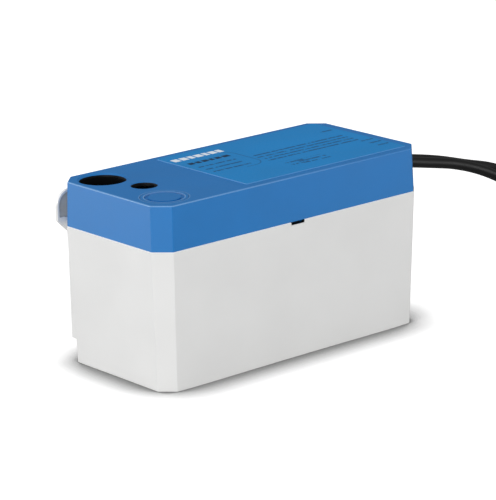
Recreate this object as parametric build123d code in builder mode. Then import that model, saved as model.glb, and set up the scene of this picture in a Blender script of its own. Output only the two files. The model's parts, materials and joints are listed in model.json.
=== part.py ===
from build123d import *

import os
from math import cos, pi, radians, sin, tan

# Condensate pump: a tank, a lift-off lid unit that carries the motor, pump, float switch and
# check valve, and two cords. Millimetres, +Z up, +X along the length to the cord end, +Y to the
# wall side. The origin is the centre of the tank's flat underside.

# ---- driving dimensions ----
LENGTH = 192.0  # plan length at the seam
WIDTH = 90.0  # plan width at the seam
SEAM_Z = 78.8  # where the lid meets the tank
LID_TOP = 103.8
CORNER = 8.2  # cut corners, at the seam and above
FOOT_CORNER = 7.5
TANK_DRAFT = 2.3  # each wall leans in by this much down to the foot
LID_DRAFT = 0.7
TANK_WALL = 2.5
TANK_FLOOR = 3.0
LID_WALL = 2.2
EDGE = 0.5  # small moulded bevel
CORNER_R = 0.9  # rounded upright edges of the tank and lid
CROWN_R = 0.7  # rounded edge round the lid's top
SEAM_BEVEL = 0.6  # bevel of the tank's rim at the seam
RIM_OUT = 0.4  # the tank's rim stands this far outside the lid
FLAT_CUT = 2 - 2**0.5  # how much a 45 degree corner shrinks for each mm of wall
CLEAR = 0.3  # gap between bodies that move apart

SPIGOT_DEPTH = 4.0  # the lid's inner lip reaches this far into the tank
SPIGOT_WALL = 1.7
SPIGOT_INSET = TANK_WALL + CLEAR + 0.2  # of the lip, from the seam's edge
CAVITY_FOOT = 2.0  # the lid's hollow starts this far above the seam
PRY_SLOT = (10.0, 1.8)  # width and height of the notch for lifting the lid

INLET_X = -78.0
OPEN_INLET_Y = 27.0
BLIND_INLET_Y = -26.5
INLET_R = 13.0
INLET_RIM = 1.0
SOCKET_WALL = 2.5
SOCKET_FOOT = 88.0  # lower end of the inlet sockets
SOCKET_FLOOR = 2.0
SOCKET_STEP = 2.5  # width of the ledge a drain pipe stops on
COLLAR_WALL = 1.2  # collar under the lid that holds each socket
COLLAR_LONG = 6.0
PLUG_GROOVE = (8.8, 10.95)  # inner and outer radius of the blind plug's groove
PLUG_GROOVE_DEEP = 0.9
PLUG_LONG = 13.2
OUTLET_X = -70.5
OUTLET_R = 7.0
OUTLET_RIM = 0.65

LUG_X = 87.0  # middle of each wall lug
LUG_Z = 87.9
LUG_R = 8.7
LUG_RIM = 1.2
LUG_FRONT = 45.5
LUG_BACK = 47.5
LUG_NECK_Z = 72.0
SHOULDER_Z = 66.0  # the lug's neck narrows to the rib between these two heights
RIB_TOP = 60.0
WEB_TOP = SEAM_Z - 0.6
LUG_SCREW_X = 86.0
LUG_SCREW_R = 2.2
BUSH_FOOT = 81.5
BUSH_RECESS = 0.8
WALL_PAD_R = 6.0  # the bush's pad behind the lug, which meets the wall
WALL_PAD = 2.0
RIB_EDGE = 88.1
RIB_WIDTH = 6.0
RIB_FOOT = 10.5

LABEL_LEFT = -30.6
LABEL_RIGHT = 88.4
LABEL_FRONT = -38.6
LABEL_BACK = 39.2
LABEL_CORNER = 1.2
LABEL_THICK = 0.4

TRAY_LEFT = -52.0
TRAY_RIGHT = 88.0
TRAY_Y = 38.5
TRAY_FLOOR = 62.0  # upper face of the motor tray's floor
TRAY_WALL = 2.0
TRAY_RIM = 78.0
BOSS_X = (-44.0, 81.0)
BOSS_Y = 32.0
BOSS_R = 4.0
BOSS_PILOT = (1.5, 14.0)  # radius and depth of the screw holes
SCREW_HOLE_R = 1.8

SHAFT_X = 10.0
SHAFT_Y = -11.0
SHAFT_R = 2.0
STACK_LOW = 72.0
STACK_HIGH = 86.0
STACK_MID = (STACK_LOW + STACK_HIGH) / 2
ROTOR_R = 12.5
ROTOR_GAP = 0.5
BOLT_REACH = 19.5  # motor bolts stand this far each side of the shaft
BOLT_HOLE_R = 1.9
STACK_X = 21.0
STACK_LONG = 66.0
STACK_WIDE = 48.0
STACK_R = 2.0
SHEET_STEP = 4.2  # grooves that show the stack's layers
SHEET_GROOVE = 0.4
WINDOW_X = 33.5
WINDOW = (13.0, 32.0)
PILLAR_R = 3.9
PILLAR_LONG = 8.0
SHAFT_HOLE_R = 6.0
BRACKET_WIDE = 16.0
BRACKET_RISE = 7.5
BRACKET_SHEET = 2.0
BRACKET_LEG = 14.5
BEARING_R = 5.0
BEARING_LONG = 5.0
BEARING_Z = (66.0, 92.0)
SHAFT_FOOT = 10.5
SHAFT_LONG = 86.5
FAN_FOOT = 95.2
FAN_R = 17.5
FAN_HUB_R = 5.0
FAN_HUB = 4.6
FAN_BLADES = 8
LIMB_X = 47.0  # centre of the limb that carries the winding
LIMB = 14.0

PUMP_FLOOR = 8.0
PUMP_ROOF = 22.0
PUMP_R = 21.0
CHAMBER_R = 17.0
IMPELLER_R = 14.0
COLUMN_R = 8.0
COLUMN_BORE = 5.5
COLUMN_FLANGE = (17.0, 3.0)  # radius and thickness
COLUMN_BOLTS = 12.5  # radius of their circle
STRAINER_BOLTS = 19.0
STRAINER_THICK = 2.0
IMPELLER_FOOT = 10.5
NOZZLE_Y = 11.0  # the discharge leaves this far from the shaft
NOZZLE_LONG = 44.0
PIPE_R = 5.0
PIPE_BORE = 3.5
PIPE_Z = 14.0
BEND_R = 14.0

VALVE_FOOT = 60.0
VALVE_R = 8.0
VALVE_LONG = 26.0
VALVE_BORE = 5.0
SEAT_R = 2.8
SEAT_Z = 69.0
BALL_R = 4.0
BARB_R = 4.3
BARB_CORE = 3.6
BARB_BORE = 2.2
BARB_COLLAR = 3.0
BARB_TOP = 97.0
CLIP_Z = 77.0
CLIP_HIGH = 6.0
CLIP_REACH = 9.0  # clip screws stand this far each side of the middle

FLOAT_X = 62.0
FLOAT_Y = 20.0
FLOAT_FOOT = 14.0
FLOAT_HIGH = 20.0
FLOAT = (38.0, 30.0, 5.0)  # plan length, width and corner radius
STEM_R = 2.5
GUIDE_R = 5.5
CAM_FOOT = 64.3
CAM_R = 6.5
CAM_THICK = 3.0

SWITCH = (20.0, 6.4, 10.0)
SWITCH_X = 76.0
SWITCH_FOOT = 84.0
SWITCH_BOLT_Z = 90.0
SWITCH_BOLT_X = 5.0  # each side of the middle
SMALL_HOLE_R = 1.2
SHEET = 1.4  # the switch bracket's thickness
PUMP_SWITCH_Y = 15.7
ALARM_SWITCH_Y = 23.1
LEVER_PIVOT = (84.0, 82.6)
LEVER_LONG = 26.0
LEVER_WIDE = 4.0
LEVER_THICK = 0.5
LEVER_BARREL = 0.7
PUMP_LEVER_REST = 8.0  # degrees below level
ALARM_LEVER_REST = 5.5

CLAMP_X = 79.0
CLAMP_Y = -3.5
CLAMP_FOOT = 10.0
CLAMP_WIDE = 27.0
CLAMP_REACH = 11.0  # clamp screws stand this far each side of the middle
CLAMP_THICK = 3.0

CORD_Z = 87.0
MAINS_Y = -8.0
ALARM_Y = 1.5
MAINS_R = 3.25
ALARM_R = 3.0
BOOT_LONG = 22.6
BOOT_TILT = 0.15  # drop per mm of run
BOOT_ROOT = 96.8  # where the boots' outer collars start
BOOT_HEEL = 90.0  # where the boots start inside the lid
BOOT_COLLAR_R = 4.7
BOOT_NECK_R = 4.1
CORD_HOLE_R = 4.2

COIL_X = 312.0
COIL_Y = 8.5
COIL_IN = 26.2
COIL_OUT = 45.8
COIL_FOOT = 1.2
COIL_MID = 14.2
COIL_TOP = 26.2
TIE = 1.1

MIN = Align.MIN
MAX = Align.MAX
CENTER = Align.CENTER
ON_BASE = (CENTER, CENTER, MIN)
UNDER = (CENTER, CENTER, MAX)

os.makedirs("parts", exist_ok=True)


def outline(height, inset=0.0, length=LENGTH, width=WIDTH, corner=CORNER):
    """Plan of the housing at one height: a rectangle with cut corners, set in from its edge."""
    with BuildSketch(Plane.XY.offset(height)) as plan:
        Rectangle(length - 2 * inset, width - 2 * inset)
        chamfer(plan.vertices(), corner - FLAT_CUT * inset)
        fillet(plan.vertices(), CORNER_R)
    return plan.sketch


def foot_outline(height, inset=0.0):
    """Plan of the tank at its foot, where the leaning walls have come in by the full draft."""
    return outline(height, inset, LENGTH - 2 * TANK_DRAFT, WIDTH - 2 * TANK_DRAFT, FOOT_CORNER)


def crown_outline(height, inset=0.0):
    """Plan of the lid at its top."""
    return outline(height, inset, LENGTH - 2 * LID_DRAFT, WIDTH - 2 * LID_DRAFT)


def screws(plane, places, head, shank):
    """Pan-head screws: heads stand on the plane, shanks behind it, each as (radius, length)."""
    slot_wide = 0.8
    with BuildPart(plane) as made:
        with Locations(*places):
            Cylinder(head[0], head[1], align=ON_BASE)
            Cylinder(shank[0], shank[1], align=UNDER)
            with Locations((0, 0, head[1])):
                Box(head[0] * 1.2, slot_wide, slot_wide, align=UNDER, mode=Mode.SUBTRACT)
                Box(slot_wide, head[0] * 1.2, slot_wide, align=UNDER, mode=Mode.SUBTRACT)
    return made


# ---- tank ----
with BuildPart() as tank:
    loft(sections=[foot_outline(0), outline(SEAM_Z - SEAM_BEVEL, -RIM_OUT)])
    chamfer(tank.faces().sort_by(Axis.Z)[0].edges(), EDGE)
    loft(sections=[outline(SEAM_Z - SEAM_BEVEL, -RIM_OUT), outline(SEAM_Z, SEAM_BEVEL - RIM_OUT)])
    loft(
        sections=[foot_outline(TANK_FLOOR, TANK_WALL), outline(SEAM_Z, TANK_WALL)],
        mode=Mode.SUBTRACT,
    )
    with Locations((0, -WIDTH / 2, SEAM_Z)):
        Box(PRY_SLOT[0], 4 * TANK_WALL, 2 * PRY_SLOT[1], mode=Mode.SUBTRACT)
    for side in (-1, 1):
        rib_inner = RIB_EDGE - RIB_WIDTH
        shoulder = LUG_X - LUG_R
        with BuildSketch(Plane.XZ.offset(-LUG_BACK)) as lug:
            with Locations((side * LUG_X, LUG_Z)):
                Circle(LUG_R)
            Polygon(
                (side * (LUG_X + LUG_R), LUG_Z),
                (side * shoulder, LUG_Z),
                (side * shoulder, SHOULDER_Z),
                (side * rib_inner, RIB_TOP),
                (side * rib_inner, RIB_FOOT),
                (side * RIB_EDGE, RIB_FOOT),
                (side * RIB_EDGE, LUG_NECK_Z),
                (side * (LUG_X + LUG_R), LUG_NECK_Z + LUG_X + LUG_R - RIB_EDGE),
                align=None,
            )
        extrude(amount=LUG_BACK - LUG_FRONT)
        with BuildSketch(Plane.XZ.offset(-LUG_FRONT - 1)) as web:
            Polygon(
                (side * shoulder, WEB_TOP),
                (side * shoulder, SHOULDER_Z),
                (side * rib_inner, RIB_TOP),
                (side * rib_inner, RIB_FOOT),
                (side * RIB_EDGE, RIB_FOOT),
                (side * RIB_EDGE, LUG_NECK_Z),
                (side * (LUG_X - 1), WEB_TOP),
                align=None,
            )
        extrude(amount=LUG_FRONT + 1 - (WIDTH / 2 - TANK_DRAFT - 0.1))
        with BuildSketch(Plane.XZ.offset(-LUG_BACK - 1)) as window:
            with Locations((side * LUG_X, LUG_Z)):
                Circle(LUG_R - LUG_RIM)
                Rectangle(2 * (LUG_R - LUG_RIM), LUG_Z - BUSH_FOOT, align=(CENTER, MAX))
        extrude(amount=LUG_BACK - LUG_FRONT + 2, mode=Mode.SUBTRACT)
tank.part.label = "tank"
export_step(tank.part, "parts/tank.step")

with BuildPart() as lug_bushes:
    for side in (-1, 1):
        with BuildSketch(Plane.XZ.offset(-LUG_BACK)) as pad:
            with Locations((side * LUG_X, LUG_Z)):
                Circle(LUG_R - LUG_RIM)
                Rectangle(2 * (LUG_R - LUG_RIM), LUG_Z - BUSH_FOOT, align=(CENTER, MAX))
            with Locations((side * LUG_SCREW_X, LUG_Z)):
                Circle(LUG_SCREW_R, mode=Mode.SUBTRACT)
        extrude(amount=LUG_BACK - LUG_FRONT - BUSH_RECESS)
        with BuildSketch(Plane.XZ.offset(-LUG_BACK - WALL_PAD)) as wall_pad:
            with Locations((side * LUG_SCREW_X, LUG_Z)):
                Circle(WALL_PAD_R)
                Circle(LUG_SCREW_R, mode=Mode.SUBTRACT)
        extrude(amount=WALL_PAD)
lug_bushes.part.label = "lug_bushes"
export_step(lug_bushes.part, "parts/lug_bushes.step")

# ---- lid ----
with BuildPart() as lid:
    loft(sections=[outline(SEAM_Z), crown_outline(LID_TOP)])
    fillet(lid.faces().sort_by(Axis.Z)[-1].edges(), CROWN_R)
    extrude(outline(SEAM_Z - SPIGOT_DEPTH, SPIGOT_INSET), amount=SPIGOT_DEPTH)
    extrude(
        outline(SEAM_Z - SPIGOT_DEPTH, SPIGOT_INSET + SPIGOT_WALL),
        amount=SPIGOT_DEPTH + CAVITY_FOOT,
        mode=Mode.SUBTRACT,
    )
    loft(
        sections=[outline(SEAM_Z + CAVITY_FOOT, LID_WALL), crown_outline(LID_TOP - LID_WALL, LID_WALL)],
        mode=Mode.SUBTRACT,
    )
    with Locations((0, -WIDTH / 2 + TANK_WALL, SEAM_Z)):
        Box(PRY_SLOT[0], 4 * SPIGOT_WALL, SPIGOT_DEPTH, align=(CENTER, CENTER, MAX), mode=Mode.SUBTRACT)
    with Locations(*[(INLET_X, y, LID_TOP - LID_WALL) for y in (OPEN_INLET_Y, BLIND_INLET_Y)]):
        Cylinder(INLET_R + SOCKET_WALL + COLLAR_WALL, COLLAR_LONG, align=UNDER)
        Cylinder(INLET_R + SOCKET_WALL, 2 * COLLAR_LONG, align=UNDER, mode=Mode.SUBTRACT)
        Cylinder(INLET_R, 2 * LID_WALL, align=ON_BASE, mode=Mode.SUBTRACT)
    with Locations((INLET_X, BLIND_INLET_Y, LID_TOP)):
        Cylinder(INLET_R + CLEAR, 2 * LID_WALL, mode=Mode.SUBTRACT)
    with Locations((OUTLET_X, 0, LID_TOP)):
        Cylinder(OUTLET_R, 3 * LID_WALL, mode=Mode.SUBTRACT)
        Cone(OUTLET_R, OUTLET_R + OUTLET_RIM, OUTLET_RIM, align=UNDER, mode=Mode.SUBTRACT)
    with Locations((INLET_X, OPEN_INLET_Y, LID_TOP)):
        Cone(INLET_R, INLET_R + INLET_RIM, INLET_RIM, align=UNDER, mode=Mode.SUBTRACT)
    with Locations(*[(x, y, TRAY_FLOOR) for x in BOSS_X for y in (-BOSS_Y, BOSS_Y)]):
        Cylinder(BOSS_R, LID_TOP - LID_WALL - TRAY_FLOOR, align=ON_BASE)
        Cylinder(*BOSS_PILOT, align=ON_BASE, mode=Mode.SUBTRACT)
    with Locations((LENGTH / 2, MAINS_Y, CORD_Z), (LENGTH / 2, ALARM_Y, CORD_Z)):
        Cylinder(CORD_HOLE_R, 4 * LID_WALL, rotation=(0, 90, 0), mode=Mode.SUBTRACT)
lid.part.label = "lid"
export_step(lid.part, "parts/lid.step")

with BuildPart() as label_film:
    with BuildSketch(Plane.XY.offset(LID_TOP)) as film:
        with Locations((LABEL_LEFT, LABEL_FRONT)):
            Rectangle(LABEL_RIGHT - LABEL_LEFT, LABEL_BACK - LABEL_FRONT, align=(MIN, MIN))
        fillet(film.vertices(), LABEL_CORNER)
    extrude(amount=LABEL_THICK)
label_film.part.label = "label_film"
export_step(label_film.part, "parts/label_film.step")

with BuildPart() as inlet_sockets:
    with Locations((INLET_X, OPEN_INLET_Y, SOCKET_FOOT), (INLET_X, BLIND_INLET_Y, SOCKET_FOOT)):
        Cylinder(INLET_R + SOCKET_WALL, LID_TOP - LID_WALL - SOCKET_FOOT, align=ON_BASE)
        Cylinder(INLET_R - SOCKET_STEP, 2 * SOCKET_FLOOR, align=ON_BASE, mode=Mode.SUBTRACT)
        with Locations((0, 0, SOCKET_FLOOR)):
            Cylinder(INLET_R, LID_TOP - SOCKET_FOOT, align=ON_BASE, mode=Mode.SUBTRACT)
inlet_sockets.part.label = "inlet_sockets"
export_step(inlet_sockets.part, "parts/inlet_sockets.step")

with BuildPart() as inlet_plug:
    with Locations((INLET_X, BLIND_INLET_Y, LID_TOP)):
        Cylinder(INLET_R, LID_WALL + 0.2, align=UNDER)
        Cylinder(PLUG_GROOVE[1], PLUG_GROOVE_DEEP, align=UNDER, mode=Mode.SUBTRACT)
        Cylinder(PLUG_GROOVE[0], PLUG_GROOVE_DEEP, align=UNDER)
        with Locations((0, 0, -LID_WALL)):
            Cylinder(INLET_R - CLEAR, PLUG_LONG - LID_WALL, align=UNDER)
        with Locations((0, 0, -2 * LID_WALL)):
            Cylinder(INLET_R - LID_WALL, PLUG_LONG, align=UNDER, mode=Mode.SUBTRACT)
inlet_plug.part.label = "inlet_plug"
export_step(inlet_plug.part, "parts/inlet_plug.step")

# ---- motor tray ----
tray_long = TRAY_RIGHT - TRAY_LEFT
tray_mid = (TRAY_RIGHT + TRAY_LEFT) / 2
with BuildPart() as motor_tray:
    with Locations((tray_mid, 0, TRAY_FLOOR - TRAY_WALL)):
        Box(tray_long, 2 * TRAY_Y, TRAY_RIM - TRAY_FLOOR + TRAY_WALL, align=ON_BASE)
        with Locations((0, 0, TRAY_WALL)):
            Box(
                tray_long - 2 * TRAY_WALL,
                2 * (TRAY_Y - TRAY_WALL),
                TRAY_RIM,
                align=ON_BASE,
                mode=Mode.SUBTRACT,
            )
    chamfer(motor_tray.edges().filter_by(Axis.Z).group_by(Axis.X)[-1], 2)
    with Locations((TRAY_LEFT, 0, TRAY_FLOOR - TRAY_WALL)):
        Box(TRAY_WALL, 2 * TRAY_Y, LID_TOP - LID_WALL - TRAY_FLOOR + TRAY_WALL, align=(MIN, CENTER, MIN))
    with Locations((SHAFT_X, SHAFT_Y, TRAY_FLOOR)):
        Cylinder(SHAFT_HOLE_R, 4 * TRAY_WALL, mode=Mode.SUBTRACT)
    with Locations(*[(SHAFT_X, SHAFT_Y + side * BOLT_REACH, TRAY_FLOOR) for side in (-1, 1)]):
        Cylinder(PILLAR_R, PILLAR_LONG, align=ON_BASE)
        Cylinder(SCREW_HOLE_R, PILLAR_LONG, align=ON_BASE, mode=Mode.SUBTRACT)
    with Locations((FLOAT_X, FLOAT_Y, TRAY_FLOOR)):
        Cylinder(GUIDE_R, 4 * TRAY_WALL, mode=Mode.SUBTRACT)
    with Locations((CLAMP_X, CLAMP_Y, TRAY_FLOOR)):
        Box(CLAMP_FOOT, CLAMP_WIDE, CORD_Z - MAINS_R - TRAY_FLOOR, align=ON_BASE)
    with Locations(*[(CLAMP_X, CLAMP_Y + side * CLAMP_REACH, CORD_Z - MAINS_R) for side in (-1, 1)]):
        Cylinder(SMALL_HOLE_R, 10, align=UNDER, mode=Mode.SUBTRACT)
    with Locations(*[(x, y, TRAY_FLOOR) for x in BOSS_X for y in (-BOSS_Y, BOSS_Y)]):
        Cylinder(SCREW_HOLE_R, 3 * TRAY_WALL, mode=Mode.SUBTRACT)
motor_tray.part.label = "motor_tray"
export_step(motor_tray.part, "parts/motor_tray.step")

boss_places = [(x, -y, 0) for x in BOSS_X for y in (-BOSS_Y, BOSS_Y)]
under_tray = Plane(origin=(0, 0, TRAY_FLOOR - TRAY_WALL), x_dir=(1, 0, 0), z_dir=(0, 0, -1))
tray_screws = screws(under_tray, boss_places, (3.5, 2.2), (1.45, 14))
tray_screws.part.label = "tray_screws"
export_step(tray_screws.part, "parts/tray_screws.step")

# ---- motor ----
with BuildPart() as lamination_stack:
    with BuildSketch(Plane.XY.offset(STACK_LOW)) as sheet:
        with Locations((STACK_X, SHAFT_Y)):
            RectangleRounded(STACK_LONG, STACK_WIDE, STACK_R)
        with Locations((WINDOW_X, SHAFT_Y)):
            Rectangle(*WINDOW, mode=Mode.SUBTRACT)
        with Locations((SHAFT_X, SHAFT_Y)):
            Circle(ROTOR_R + ROTOR_GAP, mode=Mode.SUBTRACT)
        with Locations((SHAFT_X, SHAFT_Y + BOLT_REACH), (SHAFT_X, SHAFT_Y - BOLT_REACH)):
            Circle(BOLT_HOLE_R, mode=Mode.SUBTRACT)
    extrude(amount=STACK_HIGH - STACK_LOW)
    for step in (-SHEET_STEP, 0, SHEET_STEP):
        with BuildSketch(Plane.XY.offset(STACK_MID + step)) as sheet_gap:
            with Locations((STACK_X, SHAFT_Y)):
                RectangleRounded(STACK_LONG + 2, STACK_WIDE + 2, STACK_R)
                RectangleRounded(STACK_LONG - 1, STACK_WIDE - 1, STACK_R, mode=Mode.SUBTRACT)
        extrude(amount=SHEET_GROOVE, mode=Mode.SUBTRACT)
lamination_stack.part.label = "lamination_stack"
export_step(lamination_stack.part, "parts/lamination_stack.step")

with BuildPart() as motor_bobbin:
    with Locations((LIMB_X, SHAFT_Y, STACK_MID)):
        Box(LIMB + 2, 31, LIMB + 2)
        with Locations((0, -14.75, 0), (0, 14.75, 0)):
            Box(27.4, 1.5, 28)
        Box(LIMB, 40, LIMB, mode=Mode.SUBTRACT)
motor_bobbin.part.label = "motor_bobbin"
export_step(motor_bobbin.part, "parts/motor_bobbin.step")

with BuildPart() as motor_winding:
    with Locations((LIMB_X, SHAFT_Y, STACK_MID)):
        Box(25.6, 28, 26.4)
    fillet(motor_winding.edges().filter_by(Axis.Y), 5)
    with Locations((LIMB_X, SHAFT_Y, STACK_MID)):
        Box(LIMB + 2, 40, LIMB + 2, mode=Mode.SUBTRACT)
motor_winding.part.label = "motor_winding"
export_step(motor_winding.part, "parts/motor_winding.step")

with BuildPart() as thermal_cutout:
    with Locations((LIMB_X, SHAFT_Y, STACK_MID + 13.2)):
        Box(8, 14, 4, align=ON_BASE)
    fillet(thermal_cutout.edges().filter_by(Axis.Y), 1)
thermal_cutout.part.label = "thermal_cutout"
export_step(thermal_cutout.part, "parts/thermal_cutout.step")


def bearing_bracket(up):
    """Pressed strap over one face of the stack. up is 1 for the upper bracket and -1 for the lower."""
    face = STACK_MID + up * (STACK_HIGH - STACK_MID)
    lift = (CENTER, CENTER, MIN if up > 0 else MAX)
    with BuildPart() as strap:
        with Locations((SHAFT_X, SHAFT_Y, face)):
            with Locations((0, BOLT_REACH, 0), (0, -BOLT_REACH, 0)):
                Box(BRACKET_WIDE, 9, BRACKET_SHEET, align=lift)
            with Locations((0, BRACKET_LEG, 0), (0, -BRACKET_LEG, 0)):
                Box(BRACKET_WIDE, BRACKET_SHEET, BRACKET_RISE, align=lift)
            with Locations((0, 0, up * (BRACKET_RISE - BRACKET_SHEET))):
                Box(BRACKET_WIDE, 2 * (BRACKET_LEG + 1), BRACKET_SHEET, align=lift)
                Cylinder(BEARING_R, 3 * BRACKET_SHEET, mode=Mode.SUBTRACT)
            with Locations((0, BOLT_REACH, 0), (0, -BOLT_REACH, 0)):
                Cylinder(BOLT_HOLE_R, 3 * BRACKET_SHEET, mode=Mode.SUBTRACT)
    return strap


upper_bracket = bearing_bracket(1)
upper_bracket.part.label = "upper_bracket"
export_step(upper_bracket.part, "parts/upper_bracket.step")
lower_bracket = bearing_bracket(-1)
lower_bracket.part.label = "lower_bracket"
export_step(lower_bracket.part, "parts/lower_bracket.step")

with BuildPart() as motor_bearings:
    with Locations(*[(SHAFT_X, SHAFT_Y, height) for height in BEARING_Z]):
        Cylinder(BEARING_R, BEARING_LONG)
        Cylinder(SHAFT_R + 0.05, 6, mode=Mode.SUBTRACT)
motor_bearings.part.label = "motor_bearings"
export_step(motor_bearings.part, "parts/motor_bearings.step")

bolt_places = [(SHAFT_X, SHAFT_Y + BOLT_REACH, 0), (SHAFT_X, SHAFT_Y - BOLT_REACH, 0)]
motor_bolts = screws(Plane.XY.offset(STACK_HIGH + BRACKET_SHEET), bolt_places, (3.2, 2.4), (1.7, 25))
motor_bolts.part.label = "motor_bolts"
export_step(motor_bolts.part, "parts/motor_bolts.step")

with BuildPart() as rotor:
    with Locations((SHAFT_X, SHAFT_Y, STACK_MID)):
        Cylinder(ROTOR_R, 15)
        Cylinder(ROTOR_R - 1.2, 19)
        Cylinder(SHAFT_R, 20, mode=Mode.SUBTRACT)
rotor.part.label = "rotor"
export_step(rotor.part, "parts/rotor.step")

with BuildPart() as motor_shaft:
    with Locations((SHAFT_X, SHAFT_Y, SHAFT_FOOT)):
        Cylinder(SHAFT_R, SHAFT_LONG, align=ON_BASE)
    chamfer(motor_shaft.edges().filter_by(GeomType.CIRCLE), 0.4)
motor_shaft.part.label = "motor_shaft"
export_step(motor_shaft.part, "parts/motor_shaft.step")

with BuildPart() as cooling_fan:
    with Locations((SHAFT_X, SHAFT_Y, FAN_FOOT)):
        Cylinder(FAN_HUB_R, FAN_HUB, align=ON_BASE)
        Cylinder(FAN_R, 0.8, align=ON_BASE)
        with PolarLocations(FAN_HUB_R - 0.5, FAN_BLADES):
            Box(FAN_R - FAN_HUB_R + 0.1, 1.0, FAN_HUB - 0.2, align=(MIN, CENTER, MIN))
        Cylinder(SHAFT_R, 10, mode=Mode.SUBTRACT)
cooling_fan.part.label = "cooling_fan"
export_step(cooling_fan.part, "parts/cooling_fan.step")

# ---- pump ----
with BuildPart() as pump_housing:
    with Locations((SHAFT_X, SHAFT_Y, 0)):
        with Locations((0, 0, PUMP_FLOOR)):
            Cylinder(PUMP_R, PUMP_ROOF - PUMP_FLOOR, align=ON_BASE)
        with Locations((0, 0, PUMP_ROOF)):
            Cylinder(COLUMN_R, TRAY_FLOOR - TRAY_WALL - PUMP_ROOF, align=ON_BASE)
        with Locations((0, 0, TRAY_FLOOR - TRAY_WALL)):
            Cylinder(*COLUMN_FLANGE, align=UNDER)
            with PolarLocations(COLUMN_BOLTS, 4, start_angle=45):
                Cylinder(1.5, 8, mode=Mode.SUBTRACT)
    with Locations((SHAFT_X, SHAFT_Y + NOZZLE_Y, PIPE_Z)):
        Cylinder(PIPE_R, NOZZLE_LONG, rotation=(0, -90, 0), align=ON_BASE)
        Cylinder(PIPE_BORE, NOZZLE_LONG + 6, rotation=(0, -90, 0), align=ON_BASE, mode=Mode.SUBTRACT)
    with Locations((SHAFT_X, SHAFT_Y, 0)):
        with Locations((0, 0, PUMP_FLOOR)):
            Cylinder(CHAMBER_R, 11, align=ON_BASE, mode=Mode.SUBTRACT)
        Cylinder(COLUMN_BORE, 100, align=ON_BASE, mode=Mode.SUBTRACT)
        with Locations((0, 0, 40)):
            with PolarLocations(7, 4):
                Box(8, 5, 22, mode=Mode.SUBTRACT)
pump_housing.part.label = "pump_housing"
export_step(pump_housing.part, "parts/pump_housing.step")

with BuildPart() as impeller:
    with Locations((SHAFT_X, SHAFT_Y, IMPELLER_FOOT)):
        with Locations((0, 0, 5)):
            Cylinder(IMPELLER_R, 1.5, align=ON_BASE)
        Cylinder(4, 8, align=ON_BASE)
        with PolarLocations(3.5, 6):
            Box(IMPELLER_R - 3.7, 1.4, 5.2, align=(MIN, CENTER, MIN))
        Cylinder(SHAFT_R, 20, mode=Mode.SUBTRACT)
impeller.part.label = "impeller"
export_step(impeller.part, "parts/impeller.step")

with BuildPart() as inlet_strainer:
    with Locations((SHAFT_X, SHAFT_Y, PUMP_FLOOR)):
        Cylinder(PUMP_R, STRAINER_THICK, align=UNDER)
        Cylinder(6, 6, mode=Mode.SUBTRACT)
        with Locations((0, 0, -STRAINER_THICK)):
            with PolarLocations(15, 12):
                Cylinder(1.2, 2, align=UNDER)
        with PolarLocations(STRAINER_BOLTS, 3, start_angle=30):
            Cylinder(1.2, 6, mode=Mode.SUBTRACT)
inlet_strainer.part.label = "inlet_strainer"
export_step(inlet_strainer.part, "parts/inlet_strainer.step")

strainer_foot = (SHAFT_X, SHAFT_Y, PUMP_FLOOR - STRAINER_THICK)
strainer_plane = Plane(origin=strainer_foot, x_dir=(1, 0, 0), z_dir=(0, 0, -1))
strainer_turns = [radians(a) for a in (-30, -150, -270)]
strainer_places = [(STRAINER_BOLTS * cos(a), STRAINER_BOLTS * sin(a), 0) for a in strainer_turns]
strainer_screws = screws(strainer_plane, strainer_places, (1.9, 1.4), (1.1, 2))
strainer_screws.part.label = "strainer_screws"
export_step(strainer_screws.part, "parts/strainer_screws.step")

column_foot = (SHAFT_X, SHAFT_Y, TRAY_FLOOR - TRAY_WALL - COLUMN_FLANGE[1])
column_plane = Plane(origin=column_foot, x_dir=(1, 0, 0), z_dir=(0, 0, -1))
column_turns = [radians(a) for a in (45, 135, 225, 315)]
column_places = [(COLUMN_BOLTS * cos(a), COLUMN_BOLTS * sin(a), 0) for a in column_turns]
column_screws = screws(column_plane, column_places, (2.6, 1.8), (1.4, 3))
column_screws.part.label = "column_screws"
export_step(column_screws.part, "parts/column_screws.step")

NOZZLE_END = SHAFT_X - NOZZLE_LONG
with BuildPart() as discharge_pipe:
    with BuildLine() as run:
        FilletPolyline(
            (NOZZLE_END - 0.4, 0, PIPE_Z),
            (OUTLET_X, 0, PIPE_Z),
            (OUTLET_X, 0, VALVE_FOOT + 6),
            radius=BEND_R,
        )
    with BuildSketch(Plane(origin=run.line @ 0, z_dir=run.line % 0)):
        Circle(PIPE_R)
        Circle(PIPE_BORE, mode=Mode.SUBTRACT)
    sweep()
discharge_pipe.part.label = "discharge_pipe"
export_step(discharge_pipe.part, "parts/discharge_pipe.step")

with BuildPart() as pipe_coupling:
    with Locations((NOZZLE_END, 0, PIPE_Z)):
        Cylinder(7, 16, rotation=(0, 90, 0))
        Cylinder(PIPE_R, 18, rotation=(0, 90, 0), mode=Mode.SUBTRACT)
pipe_coupling.part.label = "pipe_coupling"
export_step(pipe_coupling.part, "parts/pipe_coupling.step")

with BuildPart() as valve_body:
    with Locations((OUTLET_X, 0, VALVE_FOOT)):
        Cylinder(VALVE_R, VALVE_LONG, align=ON_BASE)
        Cylinder(PIPE_R, 6, align=ON_BASE, mode=Mode.SUBTRACT)
        Cylinder(SEAT_R, 12, align=ON_BASE, mode=Mode.SUBTRACT)
        with Locations((0, 0, SEAT_Z - VALVE_FOOT)):
            Cylinder(VALVE_BORE, VALVE_LONG, align=ON_BASE, mode=Mode.SUBTRACT)
valve_body.part.label = "valve_body"
export_step(valve_body.part, "parts/valve_body.step")

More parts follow.
